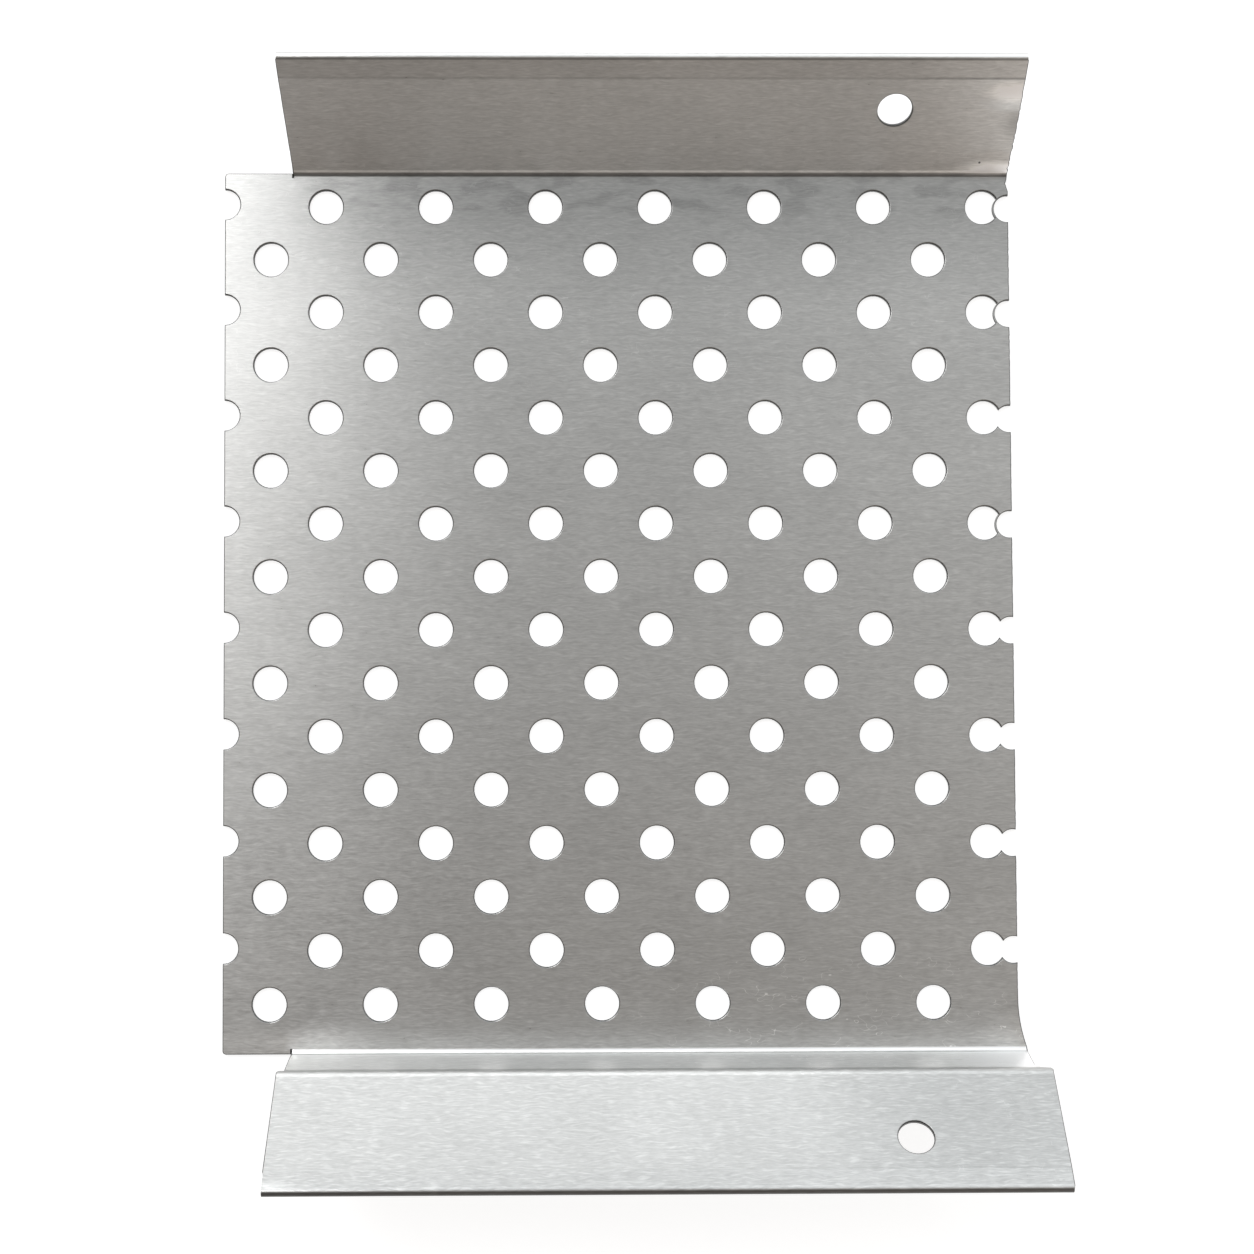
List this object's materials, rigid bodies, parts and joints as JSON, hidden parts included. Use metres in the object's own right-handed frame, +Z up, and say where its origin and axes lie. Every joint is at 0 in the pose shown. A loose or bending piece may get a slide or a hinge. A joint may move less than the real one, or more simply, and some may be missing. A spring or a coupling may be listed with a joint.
{
  "type": "perforated metal sheet",
  "caption": "Perforated metal sheet bent from a single blank, with a sloping hemmed flange along an edge and a stepped hemmed flange along the opposite edge, each with a screw hole.",
  "frame": {"origin": "centre of the flat web, on its underside", "axes": "+X along the folds towards the flush edge of the web, +Y across the folds towards the plain flange, +Z up from the web, the way both flanges rise"},
  "size_m": [0.1864, 0.2485, 0.0369],
  "materials": {
    "brushed_sheet": "satin, brushed along the folds"
  },
  "bodies": {
    "root": {"perforated_sheet": "brushed_sheet"}
  },
  "joints": []
}
